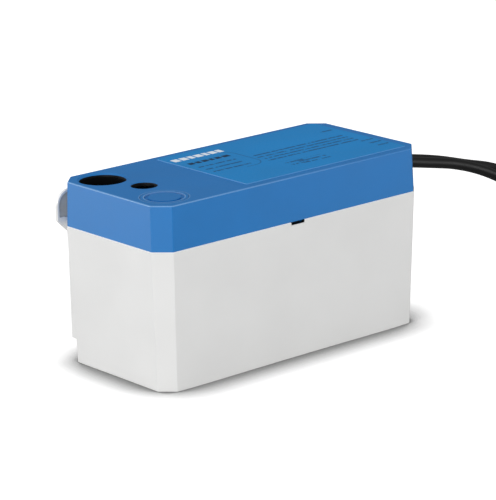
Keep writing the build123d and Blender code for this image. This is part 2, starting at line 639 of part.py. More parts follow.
with BuildPart() as valve_ball:
    with Locations((OUTLET_X, 0, SEAT_Z + (BALL_R**2 - SEAT_R**2) ** 0.5 + 0.2)):
        Sphere(BALL_R)
valve_ball.part.label = "valve_ball"
export_step(valve_ball.part, "parts/valve_ball.step")

with BuildPart() as outlet_barb:
    with Locations((OUTLET_X, 0, VALVE_FOOT + VALVE_LONG)):
        Cylinder(VALVE_BORE - 0.1, BARB_COLLAR, align=UNDER)
        Cylinder(VALVE_R, BARB_COLLAR, align=ON_BASE)
        with Locations((0, 0, BARB_COLLAR)):
            Cylinder(BARB_CORE, BARB_TOP - VALVE_FOOT - VALVE_LONG - BARB_COLLAR, align=ON_BASE)
            with Locations((0, 0, 0.8), (0, 0, 3.2)):
                Cone(BARB_R, BARB_CORE, 1.6, align=ON_BASE)
            with Locations((0, 0, 5.6)):
                Cylinder(BARB_R, 1.2, align=ON_BASE)
                with Locations((0, 0, 1.2)):
                    Cone(BARB_R, 3.2, 1.2, align=ON_BASE)
        Cylinder(BARB_BORE, 40, mode=Mode.SUBTRACT)
outlet_barb.part.label = "outlet_barb"
export_step(outlet_barb.part, "parts/outlet_barb.step")

with BuildPart() as riser_clip:
    with Locations((OUTLET_X, 0, CLIP_Z)):
        Cylinder(VALVE_R + 2.5, CLIP_HIGH)
        Box(TRAY_LEFT - OUTLET_X, 8, CLIP_HIGH, align=(MIN, CENTER, CENTER))
        Cylinder(VALVE_R, 2 * CLIP_HIGH, mode=Mode.SUBTRACT)
    with Locations((TRAY_LEFT, 0, CLIP_Z)):
        Box(2, 2 * CLIP_REACH + 6, CLIP_HIGH, align=(MAX, CENTER, CENTER))
    with Locations((TRAY_LEFT, CLIP_REACH, CLIP_Z), (TRAY_LEFT, -CLIP_REACH, CLIP_Z)):
        Cylinder(1.3, 8, rotation=(0, 90, 0), mode=Mode.SUBTRACT)
riser_clip.part.label = "riser_clip"
export_step(riser_clip.part, "parts/riser_clip.step")

clip_plane = Plane(origin=(TRAY_LEFT - 2, 0, CLIP_Z), x_dir=(0, 1, 0), z_dir=(-1, 0, 0))
clip_screws = screws(clip_plane, [(CLIP_REACH, 0, 0), (-CLIP_REACH, 0, 0)], (2.2, 1.4), (1.25, 2))
clip_screws.part.label = "clip_screws"
export_step(clip_screws.part, "parts/clip_screws.step")

# ---- float switch ----
with BuildPart() as float_body:
    with BuildSketch(Plane.XY.offset(FLOAT_FOOT)):
        with Locations((FLOAT_X, FLOAT_Y)):
            RectangleRounded(*FLOAT)
    extrude(amount=FLOAT_HIGH)
    fillet(float_body.edges().group_by(Axis.Z)[0], 2)
    fillet(float_body.edges().group_by(Axis.Z)[-1], 2)
float_body.part.label = "float_body"
export_step(float_body.part, "parts/float_body.step")

with BuildPart() as float_stem:
    with Locations((FLOAT_X, FLOAT_Y, FLOAT_FOOT + FLOAT_HIGH)):
        Cylinder(STEM_R, CAM_FOOT + CAM_THICK - FLOAT_FOOT - FLOAT_HIGH, align=ON_BASE)
        Cylinder(5, 1.5, align=ON_BASE)
    with Locations((FLOAT_X, FLOAT_Y, CAM_FOOT)):
        Cylinder(CAM_R, CAM_THICK, align=ON_BASE)
float_stem.part.label = "float_stem"
export_step(float_stem.part, "parts/float_stem.step")

with BuildPart() as float_guide:
    with Locations((FLOAT_X, FLOAT_Y, TRAY_FLOOR)):
        Cylinder(GUIDE_R, 10, align=UNDER)
        Cylinder(GUIDE_R + 1.7, 2, align=ON_BASE)
        Cylinder(STEM_R + CLEAR, 40, mode=Mode.SUBTRACT)
float_guide.part.label = "float_guide"
export_step(float_guide.part, "parts/float_guide.step")

BRACKET_Y = ALARM_SWITCH_Y + SWITCH[1] / 2
with BuildPart() as switch_bracket:
    with Locations((SWITCH_X, BRACKET_Y, TRAY_FLOOR)):
        Box(SWITCH[0], SHEET, 33, align=(CENTER, MIN, MIN))
    with Locations((SWITCH_X + 10, BRACKET_Y, TRAY_FLOOR)):
        Box(13, 15.5, SHEET, align=(MAX, MAX, MIN))
    with Locations(*[(SWITCH_X + side * SWITCH_BOLT_X, BRACKET_Y, SWITCH_BOLT_Z) for side in (-1, 1)]):
        Cylinder(SMALL_HOLE_R, 8, rotation=(90, 0, 0), mode=Mode.SUBTRACT)
switch_bracket.part.label = "switch_bracket"
export_step(switch_bracket.part, "parts/switch_bracket.step")


def micro_switch(middle):
    """Snap switch case with two ears below it that carry the lever's pivot."""
    with BuildPart() as case:
        with Locations((SWITCH_X, middle, SWITCH_FOOT)):
            Box(*SWITCH, align=ON_BASE)
        with Locations(*[(LEVER_PIVOT[0], middle + side * 2.8, LEVER_PIVOT[1]) for side in (-1, 1)]):
            Box(3, 0.8, 2.8)
        with Locations((LEVER_PIVOT[0], middle, LEVER_PIVOT[1])):
            Cylinder(0.9, 8, rotation=(90, 0, 0), mode=Mode.SUBTRACT)
        with Locations(*[(SWITCH_X + side * SWITCH_BOLT_X, middle, SWITCH_BOLT_Z) for side in (-1, 1)]):
            Cylinder(SMALL_HOLE_R, 8, rotation=(90, 0, 0), mode=Mode.SUBTRACT)
        with Locations(*[(SWITCH_X + x, middle, SWITCH_FOOT + SWITCH[2]) for x in (-7, 0, 7)]):
            Box(0.6, 3, 4.5, align=ON_BASE)
    return case


def switch_lever(middle, droop):
    """Spring strip that hangs below a switch and turns about its barrel. droop is in degrees."""
    hinge = Plane(
        origin=(LEVER_PIVOT[0], middle, LEVER_PIVOT[1]),
        x_dir=(-cos(radians(droop)), 0, -sin(radians(droop))),
        z_dir=(-sin(radians(droop)), 0, cos(radians(droop))),
    )
    with BuildPart(hinge) as lever:
        Cylinder(LEVER_BARREL, 6.0, rotation=(90, 0, 0))
        Box(LEVER_LONG, LEVER_WIDE, LEVER_THICK, align=(MIN, CENTER, CENTER))
    return lever


pump_switch = micro_switch(PUMP_SWITCH_Y)
pump_switch.part.label = "pump_switch"
export_step(pump_switch.part, "parts/pump_switch.step")
alarm_switch = micro_switch(ALARM_SWITCH_Y)
alarm_switch.part.label = "alarm_switch"
export_step(alarm_switch.part, "parts/alarm_switch.step")
pump_switch_lever = switch_lever(PUMP_SWITCH_Y, PUMP_LEVER_REST)
pump_switch_lever.part.label = "pump_switch_lever"
export_step(pump_switch_lever.part, "parts/pump_switch_lever.step")
alarm_switch_lever = switch_lever(ALARM_SWITCH_Y, ALARM_LEVER_REST)
alarm_switch_lever.part.label = "alarm_switch_lever"
export_step(alarm_switch_lever.part, "parts/alarm_switch_lever.step")

switch_face = (SWITCH_X, PUMP_SWITCH_Y - SWITCH[1] / 2, SWITCH_BOLT_Z)
switch_side = Plane(origin=switch_face, x_dir=(1, 0, 0), z_dir=(0, -1, 0))
switch_screws = screws(switch_side, [(-SWITCH_BOLT_X, 0, 0), (SWITCH_BOLT_X, 0, 0)], (1.9, 1.2), (1.1, 15))
switch_screws.part.label = "switch_screws"
export_step(switch_screws.part, "parts/switch_screws.step")

# ---- wiring ----
TAIL_LONG = 20.0
TERMINAL_X = -20.0
TERMINAL_Y = 27.0
TERMINAL_STEP = 5.4
TERMINAL_HIGH = 7.0
terminal_ways = [(TERMINAL_X + TERMINAL_STEP * (i - 2.5), TERMINAL_Y, 0) for i in range(6)]
with BuildPart() as terminal_block:
    with Locations((TERMINAL_X, TERMINAL_Y, TRAY_FLOOR)):
        Box(33, 14, TERMINAL_HIGH, align=ON_BASE)
    with Locations(*[(x, y, TRAY_FLOOR + TERMINAL_HIGH) for x, y, z in terminal_ways]):
        Cylinder(2.2, 4.5, align=ON_BASE)
        Cylinder(1.7, 4.5, align=ON_BASE, mode=Mode.SUBTRACT)
        Cylinder(1.05, 2, align=UNDER, mode=Mode.SUBTRACT)
    with Locations(*[(x, y, TRAY_FLOOR + TERMINAL_HIGH / 2) for x, y, z in terminal_ways]):
        Cylinder(1.5, 20, rotation=(90, 0, 0), mode=Mode.SUBTRACT)
terminal_block.part.label = "terminal_block"
export_step(terminal_block.part, "parts/terminal_block.step")

terminal_screws = screws(Plane.XY.offset(TRAY_FLOOR + TERMINAL_HIGH), terminal_ways, (1.6, 2), (1.0, 1.8))
terminal_screws.part.label = "terminal_screws"
export_step(terminal_screws.part, "parts/terminal_screws.step")

with BuildPart() as cord_clamp:
    with Locations((CLAMP_X, CLAMP_Y, CORD_Z + MAINS_R)):
        Box(6, CLAMP_WIDE, CLAMP_THICK, align=ON_BASE)
        with Locations((0, -CLAMP_REACH, 0), (0, CLAMP_REACH, 0)):
            Cylinder(1.3, 12, mode=Mode.SUBTRACT)
cord_clamp.part.label = "cord_clamp"
export_step(cord_clamp.part, "parts/cord_clamp.step")

clamp_top = Plane(origin=(CLAMP_X, CLAMP_Y, CORD_Z + MAINS_R + CLAMP_THICK))
clamp_screws = screws(clamp_top, [(0, -CLAMP_REACH, 0), (0, CLAMP_REACH, 0)], (2.3, 1.6), (1.1, 15))
clamp_screws.part.label = "clamp_screws"
export_step(clamp_screws.part, "parts/clamp_screws.step")

with BuildPart() as cord_tails:
    with Locations((BOOT_HEEL, MAINS_Y, CORD_Z)):
        Cylinder(MAINS_R, TAIL_LONG, rotation=(0, -90, 0), align=ON_BASE)
    with Locations((BOOT_HEEL, ALARM_Y, CORD_Z)):
        Cylinder(ALARM_R, TAIL_LONG, rotation=(0, -90, 0), align=ON_BASE)
cord_tails.part.label = "cord_tails"
export_step(cord_tails.part, "parts/cord_tails.step")


def strain_relief(y, cord_r):
    """Moulded boot: a flange inside the wall, a neck through it and a taper down to the cord."""
    wall = LENGTH / 2 - LID_WALL
    mouth = Plane(origin=(BOOT_ROOT, y, CORD_Z), x_dir=(0, 1, 0), z_dir=(1, 0, -BOOT_TILT))
    with BuildPart() as boot:
        with Locations((BOOT_HEEL, y, CORD_Z)):
            Cylinder(BOOT_COLLAR_R, wall - BOOT_HEEL - 0.6, rotation=(0, 90, 0), align=ON_BASE)
            Cylinder(BOOT_NECK_R, LENGTH / 2 - BOOT_HEEL + 1, rotation=(0, 90, 0), align=ON_BASE)
        with Locations(mouth):
            Cylinder(BOOT_COLLAR_R, 1.6, align=ON_BASE)
            Cone(BOOT_COLLAR_R - 0.2, cord_r + 0.6, BOOT_LONG, align=ON_BASE)
    return boot


mains_strain_relief = strain_relief(MAINS_Y, MAINS_R)
mains_strain_relief.part.label = "mains_strain_relief"
export_step(mains_strain_relief.part, "parts/mains_strain_relief.step")
alarm_strain_relief = strain_relief(ALARM_Y, ALARM_R)
alarm_strain_relief.part.label = "alarm_strain_relief"
export_step(alarm_strain_relief.part, "parts/alarm_strain_relief.step")


def cord(name, cord_r, route):
    """Round cord along straight runs joined by tangent arcs, each as large as its two runs allow."""
    steps = [Vector(*b) - Vector(*a) for a, b in zip(route, route[1:])]
    radii = []
    for before, after in zip(steps, steps[1:]):
        half_turn = radians(before.get_angle(after)) / 2
        radii.append(0.45 * min(before.length, after.length) / tan(half_turn))
    with BuildPart() as made:
        with BuildLine() as path:
            FilletPolyline(*route, radius=radii)
        with BuildSketch(Plane(origin=path.line @ 0, z_dir=path.line % 0)):
            Circle(cord_r)
        sweep()
    long = path.wires()[0].length
    ratio = made.part.volume / (pi * cord_r**2 * long)
    print(f"{name}: length {long:.1f}, least radius {min(radii):.1f}, volume ratio {ratio:.4f}")
    return made


BOOT_AXIS = Vector(1, 0, -BOOT_TILT).normalized() * BOOT_LONG
BOOT_END = (BOOT_ROOT + BOOT_AXIS.X, CORD_Z + BOOT_AXIS.Z)
MAINS_ROUTE = [
    (BOOT_END[0], MAINS_Y, BOOT_END[1]),
    (136, MAINS_Y, BOOT_END[1] - BOOT_TILT * (136 - BOOT_END[0])),
    (160, -8.8, 75.3),
    (186, -11, 65.4),
    (211, -15, 50),
    (232, -21, 29),
    (250, -28, 12),
    (270, -33, 4.0),
    (286, -34.2, 3.4),
]
ALARM_ROUTE = [
    (BOOT_END[0], ALARM_Y, BOOT_END[1]),
    (135, ALARM_Y, BOOT_END[1] - BOOT_TILT * (135 - BOOT_END[0])),
    (157, 2.0, 75.9),
    (180, 3.5, 69),
    (206, 6.5, 62.2),
    (231, 14, 50),
    (253, 27, 36),
    (271, 41, 24),
    (283.4, 48.5, 18.6),
]
mains_cord = cord("mains_cord", MAINS_R, MAINS_ROUTE)
mains_cord.part.label = "mains_cord"
export_step(mains_cord.part, "parts/mains_cord.step")
alarm_cord = cord("alarm_cord", ALARM_R, ALARM_ROUTE)
alarm_cord.part.label = "alarm_cord"
export_step(alarm_cord.part, "parts/alarm_cord.step")


def coil(foot, top):
    """Outer shape of a neat round coil of cord."""
    with BuildPart() as ring:
        with Locations((COIL_X, COIL_Y, foot)):
            Cylinder(COIL_OUT, top - foot, align=ON_BASE)
            Cylinder(COIL_IN, top - foot, align=ON_BASE, mode=Mode.SUBTRACT)
        fillet(ring.edges().filter_by(GeomType.CIRCLE), 2.5)
    return ring


mains_coil = coil(COIL_FOOT, COIL_MID)
mains_coil.part.label = "mains_coil"
export_step(mains_coil.part, "parts/mains_coil.step")
alarm_coil = coil(COIL_MID, COIL_TOP)
alarm_coil.part.label = "alarm_coil"
export_step(alarm_coil.part, "parts/alarm_coil.step")

COIL_BAND = (COIL_IN + COIL_OUT) / 2
with BuildPart() as coil_ties:
    for turn in (20, 200):
        outward = Vector(cos(radians(turn)), sin(radians(turn)), 0)
        with Locations(Plane(origin=Vector(COIL_X, COIL_Y, 0) + outward * COIL_BAND, x_dir=outward)):
            Box(COIL_OUT - COIL_IN + 0.3 + 2 * TIE, 3.6, COIL_TOP + 0.1 + TIE, align=ON_BASE)
            with Locations((0, 0, TIE)):
                Box(COIL_OUT - COIL_IN + 0.3, 5, COIL_TOP + 0.1 - TIE, align=ON_BASE, mode=Mode.SUBTRACT)
coil_ties.part.label = "coil_ties"
export_step(coil_ties.part, "parts/coil_ties.step")

# ---- mains plug and alarm cores ----
PLUG_X = 362.0
PLUG_Y = -36.0
PLUG_Z = 11.0
LEAD_START = COIL_X + 24.6
MAINS_LEAD = [(LEAD_START, -34.2, 10.6), (349, PLUG_Y, PLUG_Z), (PLUG_X, PLUG_Y, PLUG_Z)]
mains_lead = cord("mains_lead", MAINS_R, MAINS_LEAD)
mains_lead.part.label = "mains_lead"
export_step(mains_lead.part, "parts/mains_lead.step")
ALARM_LEAD = [
    (LEAD_START, 50.8, 20.4),
    (348, 51.3, 13.5),
    (359, 52.0, 6.5),
    (371, 52.8, 3.2),
    (384, 53.2, 3.1),
]
alarm_lead = cord("alarm_lead", ALARM_R, ALARM_LEAD)
alarm_lead.part.label = "alarm_lead"
export_step(alarm_lead.part, "parts/alarm_lead.step")

with BuildPart(Plane(origin=(PLUG_X, PLUG_Y, PLUG_Z), x_dir=(0, 1, 0), z_dir=(1, 0, 0))) as mains_plug:
    Cone(MAINS_R + 0.7, 5.5, 20, align=ON_BASE)
    with BuildSketch(Plane(origin=(PLUG_X + 18, PLUG_Y, PLUG_Z), x_dir=(0, 1, 0), z_dir=(1, 0, 0))):
        RectangleRounded(16, 14, 4)
    with BuildSketch(Plane(origin=(PLUG_X + 30, PLUG_Y, PLUG_Z), x_dir=(0, 1, 0), z_dir=(1, 0, 0))):
        RectangleRounded(27, 21.5, 5)
    loft()
    with BuildSketch(Plane(origin=(PLUG_X + 30, PLUG_Y, PLUG_Z), x_dir=(0, 1, 0), z_dir=(1, 0, 0))):
        RectangleRounded(27, 21.5, 5)
    extrude(amount=14)
    fillet(mains_plug.faces().sort_by(Axis.X)[-1].edges(), 1.2)
mains_plug.part.label = "mains_plug"
export_step(mains_plug.part, "parts/mains_plug.step")

pin_face = Plane(origin=(PLUG_X + 44, PLUG_Y, PLUG_Z), x_dir=(0, 1, 0), z_dir=(1, 0, 0))
with BuildPart(pin_face) as plug_pins:
    with Locations((-6.35, 3, 0), (6.35, 3, 0)):
        Box(1.5, 6.35, 17.5, align=ON_BASE)
    with Locations((0, -5.5, 0)):
        Cylinder(2.4, 20, align=ON_BASE)
plug_pins.part.label = "plug_pins"
export_step(plug_pins.part, "parts/plug_pins.step")

CORE_R = 1.1
with BuildPart() as alarm_cores:
    for side in (-1, 0, 1):
        start = Vector(384.3, 53.2 + 1.7 * side, 3.1 - 0.4 * abs(side))
        with Locations(Plane(origin=start, z_dir=(1, 0.12 * side, -0.03))):
            Cylinder(CORE_R, 22, align=ON_BASE)
            Cylinder(0.6, 29, align=ON_BASE)
alarm_cores.part.label = "alarm_cores"
export_step(alarm_cores.part, "parts/alarm_cores.step")
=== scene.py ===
import json
import math

import bmesh
import bpy
from mathutils import Matrix, Vector


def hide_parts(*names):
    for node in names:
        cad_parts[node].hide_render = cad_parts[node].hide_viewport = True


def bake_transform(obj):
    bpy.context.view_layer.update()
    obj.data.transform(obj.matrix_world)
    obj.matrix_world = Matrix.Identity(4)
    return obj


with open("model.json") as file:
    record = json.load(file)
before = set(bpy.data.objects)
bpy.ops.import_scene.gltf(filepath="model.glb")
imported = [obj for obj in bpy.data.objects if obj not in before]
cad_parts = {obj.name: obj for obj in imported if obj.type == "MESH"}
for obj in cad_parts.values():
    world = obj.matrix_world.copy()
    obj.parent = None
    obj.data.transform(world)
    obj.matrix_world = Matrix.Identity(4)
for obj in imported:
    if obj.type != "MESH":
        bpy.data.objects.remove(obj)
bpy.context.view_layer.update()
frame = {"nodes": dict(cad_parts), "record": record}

MM = 0.001
nodes = frame["nodes"]
scene = bpy.context.scene
scene.view_settings.view_transform = "Standard"


# ---- camera ----
CAMERA_AT = (-943.19, -1112.12, 472.89)
CAMERA_RIGHT = (0.757514, -0.652422, -0.022760)
CAMERA_UP = (0.197235, 0.195493, 0.960667)
LENS = 194.47
SENSOR = 36.0


def make_camera():
    """A long lens, left of the front and a little above, with a slight roll."""
    place = Vector(CAMERA_AT) * MM
    right = Vector(CAMERA_RIGHT)
    up = Vector(CAMERA_UP)
    back = right.cross(up).normalized()
    lens = bpy.data.cameras.new("camera")
    lens.lens = LENS
    lens.sensor_width = SENSOR
    camera = bpy.data.objects.new("camera", lens)
    turn = Matrix((right, up, back)).transposed().to_4x4()
    camera.matrix_world = Matrix.Translation(place) @ turn
    scene.collection.objects.link(camera)
    scene.camera = camera


make_camera()


# ---- cords, in millimetres ----
MAINS_R = 3.25
ALARM_R = 3.0
COIL_X = 312.0  # middle of the coil
COIL_Y = 8.5
COIL_FOOT = 1.2  # underside of the mains cord's coil, and of the alarm cord's above it
COIL_MID = 14.2
COIL_BAND = 36.0  # radius of the middle ring, and from ring to ring
COIL_PITCH = 6.5
STEPS = 16  # points in a turn
CROSS_FROM = 0.7  # a cord moves over to its next ring in the last part of each turn
CURVE_STEPS = 6
ROUND_STEPS = 5

MAINS_ROUTE = [
    (118.9, -8, 83.68),
    (136, -8, 80.2),
    (160, -8.8, 75.3),
    (186, -11, 65.4),
    (211, -15, 50),
    (232, -21, 29),
    (250, -28, 12),
    (270, -33, 4.4),
    (290, -34.2, 4.4),
]
ALARM_ROUTE = [
    (118.9, 1.5, 83.68),
    (135, 1.5, 80.9),
    (157, 2.0, 75.9),
    (180, 3.5, 69),
    (206, 6.5, 62.2),
    (231, 14, 50),
    (253, 27, 36),
    (271, 41, 24),
    (290, 49.5, 18),
]
MAINS_LEAD = [(330, -34.2, 10.8), (340, -34.6, 10.8), (349, -36, 11), (362, -36, 11)]
ALARM_LEAD = [
    (326, 50.9, 22.4),
    (337, 50.9, 20),
    (348, 51.3, 13.5),
    (359, 52.0, 6.5),
    (371, 52.8, 3.2),
    (384, 53.2, 3.1),
]


def coil_turns(foot, thick, side):
    """Six turns in two layers: three inwards, then three outwards. They start at +Y where side is 1,
    and at -Y where it is -1."""
    rings = [COIL_BAND + COIL_PITCH, COIL_BAND, COIL_BAND - COIL_PITCH]
    rings = rings + rings[::-1]
    grow = 1 / math.cos(math.pi / STEPS)
    low = foot + thick
    turns = []
    for turn, ring in enumerate(rings):
        for step in range(STEPS):
            part = step / STEPS
            ease = max(0.0, (part - CROSS_FROM) / (1 - CROSS_FROM))
            ease = ease * ease * (3 - 2 * ease)
            after = rings[min(turn + 1, len(rings) - 1)]
            radius = (ring + (after - ring) * ease) * grow
            layer = 0 if turn < 2 else (ease if turn == 2 else 1)
            angle = side * (math.pi / 2 - 2 * math.pi * part)
            turns.append(
                (
                    COIL_X + radius * math.cos(angle),
                    COIL_Y + radius * math.sin(angle),
                    low + 2 * thick * layer,
                )
            )
    return turns


def cord(name, points, radius, material):
    """A cord along a smooth line, as a mesh tube. Returns the piece and the line's points."""
    curve = bpy.data.curves.new(name, "CURVE")
    curve.dimensions = "3D"
    curve.resolution_u = CURVE_STEPS
    spline = curve.splines.new("NURBS")
    spline.points.add(len(points) - 1)
    for point, place in zip(spline.points, points):
        point.co = (*(Vector(place) * MM), 1)
    spline.order_u = 3
    spline.use_endpoint_u = True
    line = bpy.data.objects.new(name + "_line", curve)
    path = [tuple(v.co) for v in bpy.data.meshes.new_from_object(line).vertices]
    curve.bevel_depth = radius * MM
    curve.bevel_resolution = ROUND_STEPS
    curve.use_fill_caps = True
    mesh = bpy.data.meshes.new_from_object(line)
    bpy.data.objects.remove(line)
    piece = bpy.data.objects.new(name, mesh)
    scene.collection.objects.link(piece)
    mesh.materials.clear()
    mesh.materials.append(material)
    for face in mesh.polygons:
        face.use_smooth = True
    return piece, path


# ---- materials ----
def linear(code):
    """An sRGB hex value as a linear colour."""
    parts = [int(code[i : i + 2], 16) / 255 for i in (0, 2, 4)]
    return tuple(c / 12.92 if c <= 0.04045 else ((c + 0.055) / 1.055) ** 2.4 for c in parts) + (1.0,)


def add(tree, kind, inputs=(), **settings):
    """Add a node with its settings, socket values and links."""
    made = tree.nodes.new("ShaderNode" + kind)
    for key, value in settings.items():
        setattr(made, key, value)
    for key, value in dict(inputs).items():
        if isinstance(value, bpy.types.NodeSocket):
            tree.links.new(value, made.inputs[key])
        else:
            made.inputs[key].default_value = value
    return made


def joined(tree, masks, operation):
    """Several masks or strengths as one, taken two at a time."""
    whole = masks[0]
    for mask in masks[1:]:
        whole = add(tree, "Math", {0: whole, 1: mask}, operation=operation).outputs[0]
    return whole


def all_of(tree, *masks):
    """Where every mask holds. A number fades the mask."""
    return joined(tree, masks, "MULTIPLY")


def any_of(tree, *masks):
    """Where at least one mask holds."""
    return joined(tree, masks, "MAXIMUM")


def new_material(name):
    """An empty material and its tree."""
    made = bpy.data.materials.new(name)
    made.use_nodes = True
    made.node_tree.nodes.clear()
    return made, made.node_tree


PATCH_SPREAD = (0.35, 0.65)  # the noise levels between which one colour passes to the other
GLOSS_SPREAD = (0.7, 1.3)  # the same for the roughness, on the sum of both noises


def finish_of(name, light, dark, rough, patch, grain, relief, **shader):
    """A solid finish: soft patches of two close colours, and a fine grain that roughens and raises
    the surface. patch, grain and relief are in millimetres."""
    made, tree = new_material(name)
    place = add(tree, "TexCoord").outputs["Object"]
    broad = {"Vector": place, "Scale": 1 / (patch * MM), "Detail": 4.0}
    patches = add(tree, "TexNoise", broad).outputs["Fac"]
    fine = add(tree, "TexNoise", {"Vector": place, "Scale": 1 / (grain * MM), "Detail": 2.0}).outputs["Fac"]
    ramp = add(tree, "ValToRGB", {"Fac": patches})
    for stop, level, code in zip(ramp.color_ramp.elements, PATCH_SPREAD, (dark, light)):
        stop.position = level
        stop.color = linear(code)
    mixed = add(tree, "Math", {0: patches, 1: fine}, operation="ADD")
    spread = {"From Min": GLOSS_SPREAD[0], "From Max": GLOSS_SPREAD[1]}
    spread.update({"Value": mixed.outputs[0], "To Min": rough[0], "To Max": rough[1]})
    gloss = add(tree, "MapRange", spread)
    bump = add(tree, "Bump", {"Height": fine, "Distance": relief * MM, "Strength": 1.0})
    values = {
        "Base Color": ramp.outputs["Color"],
        "Roughness": gloss.outputs["Result"],
        "Normal": bump.outputs["Normal"],
    }
    values.update({key.replace("_", " "): value for key, value in shader.items()})
    principled = add(tree, "BsdfPrincipled", values)
    add(tree, "OutputMaterial", {"Surface": principled.outputs["BSDF"]})
    return made


# Satin white housing plastic, almost even, with a broad soft gloss.
WHITE = finish_of("moulded_white_polypropylene", "E8E8E7", "E5E5E4", (0.38, 0.48), 45, 0.6, 0.006)
# Strong even blue, satin enough to lose sharp reflections.
BLUE = finish_of("moulded_blue_abs", "0077C3", "0074BE", (0.45, 0.55), 30, 0.5, 0.006)
# A blue slightly greener than the lid's, flat and even as printed film is.
FILM = finish_of("printed_polyester_film", "0088D1", "0084CB", (0.45, 0.55), 40, 1.0, 0.002, IOR=1.33)
# Deep black, smooth enough for one soft streak along the cord.
JACKET = finish_of("flexible_black_pvc", "040405", "030304", (0.4, 0.5), 12, 0.5, 0.006)
# Dull soft black for strain reliefs and seals.
RUBBER = finish_of("moulded_black_rubber", "161616", "101010", (0.55, 0.7), 9, 0.4, 0.02)
# Warm pale grey, dry and matt, set into the white lugs.
BUSH = finish_of("grey_moulded_rubber", "C6C2BA", "BCB8AF", (0.6, 0.7), 6, 0.4, 0.02)
# Mid-grey moulding of the pump parts, with a low gloss.
GREY = finish_of("moulded_grey_polypropylene", "8D9093", "82858A", (0.4, 0.5), 20, 0.6, 0.008)
# Creamy off-white, a little waxy, as unpigmented nylon is.
NYLON = finish_of("natural_nylon", "DAD6C8", "CEC9B8", (0.35, 0.45), 12, 0.5, 0.006)
# Flat black that swallows light, so that the inlets read as deep.
SOCKET = finish_of("moulded_black_polypropylene", "040507", "030405", (0.75, 0.85), 8, 0.4, 0.01, IOR=1.3)
# Black with a faint grain, for clips, the plug and small mouldings.
BLACK = finish_of("moulded_black_polyamide", "0C0D0E", "08090A", (0.5, 0.6), 10, 0.4, 0.01)
# Bright greyish metal with slight cloudiness, as plated sheet and screws are.
ZINC = finish_of("zinc_plated_steel", "B9BBB8", "9DA09C", (0.28, 0.42), 5, 0.3, 0.003, Metallic=1.0)
# Clean bright metal with a tight highlight.
STEEL = finish_of("ground_stainless_steel", "C4C5C6", "B2B3B5", (0.2, 0.3), 4, 0.2, 0.002, Metallic=1.0)
# Dark grey stacked sheets under a thin varnish, half metallic.
SHEETS = finish_of("varnished_electrical_steel", "4A4B4D", "3A3A3C", (0.3, 0.45), 8, 0.4, 0.01, Metallic=0.6)
# Amber and shiny, as the wrap of a winding is.
TAPE = finish_of("amber_polyester_tape", "B4812E", "9A6A22", (0.25, 0.4), 6, 0.6, 0.02)
# Brown, slightly porous bearing metal with a dull shine.
BRONZE = finish_of("sintered_bronze", "9C7440", "7F5C30", (0.4, 0.55), 2, 0.2, 0.02, Metallic=1.0)
# Pale grey casting with a soft, grainy shine.
ALUMINIUM = finish_of("die_cast_aluminium", "B8B9BB", "9FA0A3", (0.35, 0.5), 4, 0.4, 0.01, Metallic=1.0)
# Cream foam with small pores and no gloss.
FLOAT = finish_of("closed_cell_float", "D9D5C4", "CBC6B2", (0.6, 0.75), 6, 0.8, 0.04)
# Warm silver pins with a clear highlight.
BRASS = finish_of("nickel_plated_brass", "C9C2AE", "B4AC96", (0.2, 0.32), 4, 0.3, 0.003, Metallic=1.0)
# Brown smooth insulation of the bare cord end.
CORES = finish_of("pvc_core_insulation", "6A4326", "5A371E", (0.3, 0.4), 6, 0.3, 0.005)
# Near-black ball with a dull sheen.
NITRILE = finish_of("nitrile_rubber_ball", "262626", "1C1C1C", (0.45, 0.6), 4, 0.3, 0.01)


def between(tree, value, low, high):
    """1 where a value in metres lies between two values in millimetres."""
    near = {0: value, 1: (low + high) / 2 * MM, 2: (high - low) / 2 * MM}
    return add(tree, "Math", near, operation="COMPARE").outputs[0]


def base_of(made):
    """A material's shader, what feeds its colour, and its place and axes in metres."""
    tree = made.node_tree
    principled = next(n for n in tree.nodes if n.type == "BSDF_PRINCIPLED")
    place = add(tree, "TexCoord").outputs["Object"]
    axes = add(tree, "SeparateXYZ", {0: place}).outputs
    return tree, principled, principled.inputs["Base Color"].links[0].from_socket, place, axes


def over(tree, ground, mask, strength, code):
    """A colour laid over another where the mask is 1."""
    layers = {0: all_of(tree, mask, strength), 6: ground, 7: linear(code)}
    return add(tree, "Mix", layers, data_type="RGBA").outputs[2]


SIDE_LEAST = 0.05  # how far a face has to turn to the front or left to count


def facing(tree, low, high):
    """1 where the surface tilts up by a normal's height from low to high, and looks to the front or left."""
    normal = add(tree, "NewGeometry").outputs["Normal"]
    tilt = add(tree, "SeparateXYZ", {0: normal}).outputs["Z"]
    toward = {0: normal, 1: (-1.0, -1.0, 0.0)}
    side = add(tree, "VectorMath", toward, operation="DOT_PRODUCT").outputs["Value"]
    near = {0: tilt, 1: (low + high) / 2, 2: (high - low) / 2}
    tilted = add(tree, "Math", near, operation="COMPARE").outputs[0]
    turned = add(tree, "Math", {0: side, 1: SIDE_LEAST}, operation="GREATER_THAN").outputs[0]
    return all_of(tree, tilted, turned)


# The lid, in millimetres. Openings are given by their centres, and ranges by their two ends.
BLIND_INLET = (-78.0, -26.5)
OPEN_INLET = (-78.0, 27.0)
OUTLET = (-70.5, 0.0)
LID_RIM_X = (92.2, 100)
LID_RIM_Y = (41.3, 50)
LID_RIM_CORNER = (129, 150)  # of X and Y together, at the cut corners
HIGHLIGHT_TILT = (0.23, 0.97)  # a highlighted edge's normal points up by this much
HIGHLIGHT_FADE_X = (-90, 60)  # the painted highlight fades from full to its least between these
HIGHLIGHT_FADE = (1.0, 0.25)
# Painted highlights on the rims of the blind inlet's rings: radii, and the heights they span.
INNER_RING = (10.7, 11.5)
OUTER_RING = (13.2, 13.9)
RING_Z = (102.9, 104.4)
# Painted shade, black, on the walls of the open inlet and the outlet: radii, and the heights they span.
INLET_SHADE = (0, 13.4)
INLET_SHADE_Z = (100, 102.7)
OUTLET_SHADE = (0, 7.3)
OUTLET_SHADE_Z = (100, 103.5)
HIGHLIGHT_BLUE = "8FBCE6"
SHADE_BLACK = "04060A"


